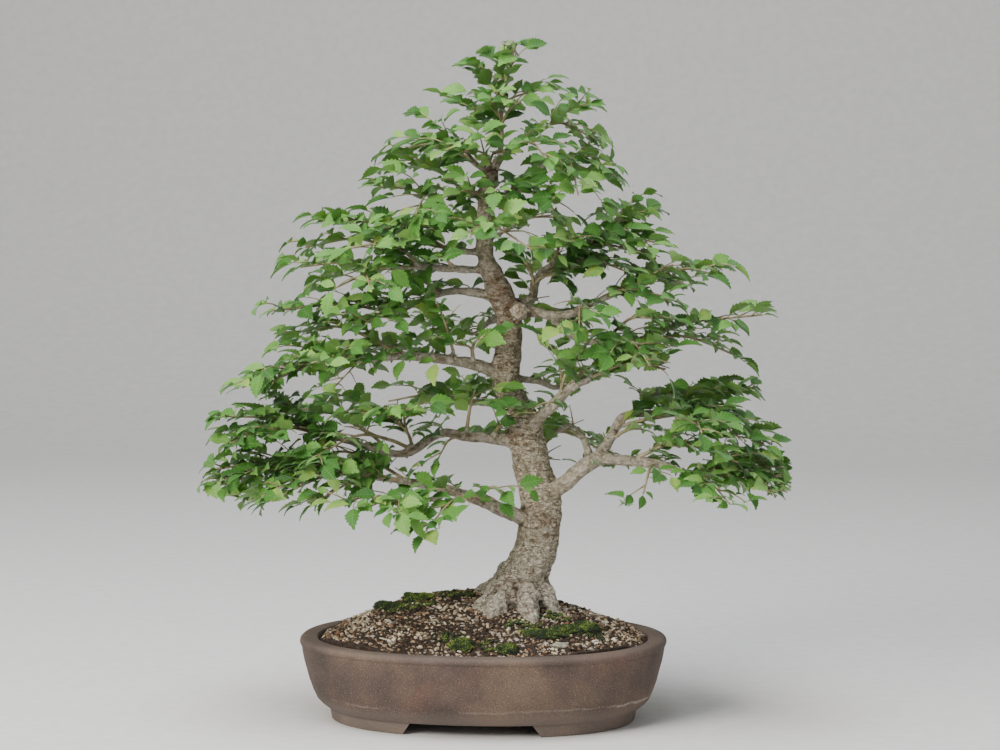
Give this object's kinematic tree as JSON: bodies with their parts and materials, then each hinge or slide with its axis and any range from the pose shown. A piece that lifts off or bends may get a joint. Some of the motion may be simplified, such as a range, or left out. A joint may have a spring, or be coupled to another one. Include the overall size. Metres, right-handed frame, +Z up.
{
  "type": "chinese hackberry bonsai",
  "caption": "Slender informal upright hackberry bonsai with layered leafy branches, surface roots, mossy gritty soil and an unglazed oval clay pot on wrap-round feet.",
  "frame": {"origin": "middle of the outer box of tree and pot, on the surface that the pot's feet stand on", "axes": "+Z up the trunk, +X along the pot's long side to the viewer's right, +Y away from the front of the tree"},
  "size_m": [0.5354, 0.3179, 0.6123],
  "materials": {
    "clay": "unglazed brown-grey fired clay, matt, with a slightly worn lip and pale mineral marks",
    "net": "dull black polyethylene netting",
    "grit": "rough mixed pumice, bark and lava grit over fired clay granules",
    "moss": "soft living moss in low cushions",
    "bark": "thin grey-brown bark with fine corky ridges, paler at the root flare",
    "leaf": "mid green leaf blades with a low waxy sheen, on green-brown twigs"
  },
  "bodies": {
    "root": {"pot": "clay", "drain_screen_left": "net", "drain_screen_right": "net", "soil": "grit", "moss_front_left": "moss", "moss_front": "moss", "moss_right": "moss", "moss_left": "moss", "trunk_and_limbs": "bark", "shoot_low_left": "leaf", "shoot_low_left_back": "leaf", "shoot_low_left_front": "leaf", "shoot_low_left_inner": "leaf", "shoot_second_left": "leaf", "shoot_second_left_back": "leaf", "shoot_second_left_front": "leaf", "shoot_second_left_upright": "leaf", "shoot_second_left_fold": "leaf", "shoot_third_left": "leaf", "shoot_third_left_upper": "leaf", "shoot_third_left_back": "leaf", "shoot_third_left_arch": "leaf", "shoot_fourth_left": "leaf", "shoot_fourth_left_back": "leaf", "shoot_fifth_left": "leaf", "shoot_fifth_left_upper": "leaf", "shoot_sixth_left": "leaf", "shoot_seventh_left": "leaf", "shoot_seventh_left_back": "leaf", "shoot_crown_left": "leaf", "shoot_crown_left_front": "leaf", "shoot_leader": "leaf", "shoot_leader_left": "leaf", "shoot_crown_right": "leaf", "shoot_crown_right_front": "leaf", "shoot_top_right": "leaf", "shoot_top_right_back": "leaf", "shoot_top_right_low": "leaf", "shoot_high_right": "leaf", "shoot_high_right_front": "leaf", "shoot_upper_right": "leaf", "shoot_upper_right_front": "leaf", "shoot_knob_lower": "leaf", "shoot_knob_lower_front": "leaf", "shoot_mid_right": "leaf", "shoot_back_right": "leaf", "shoot_low_right_upper": "leaf", "shoot_low_right_upper_back": "leaf", "shoot_low_right_mid": "leaf", "shoot_low_right": "leaf", "shoot_low_right_hang": "leaf", "shoot_low_right_back": "leaf", "shoot_back_low": "leaf", "shoot_back_mid": "leaf", "shoot_back_high": "leaf", "shoot_back_high_right": "leaf", "shoot_back_top": "leaf", "shoot_front_high": "leaf"}
  },
  "joints": []
}
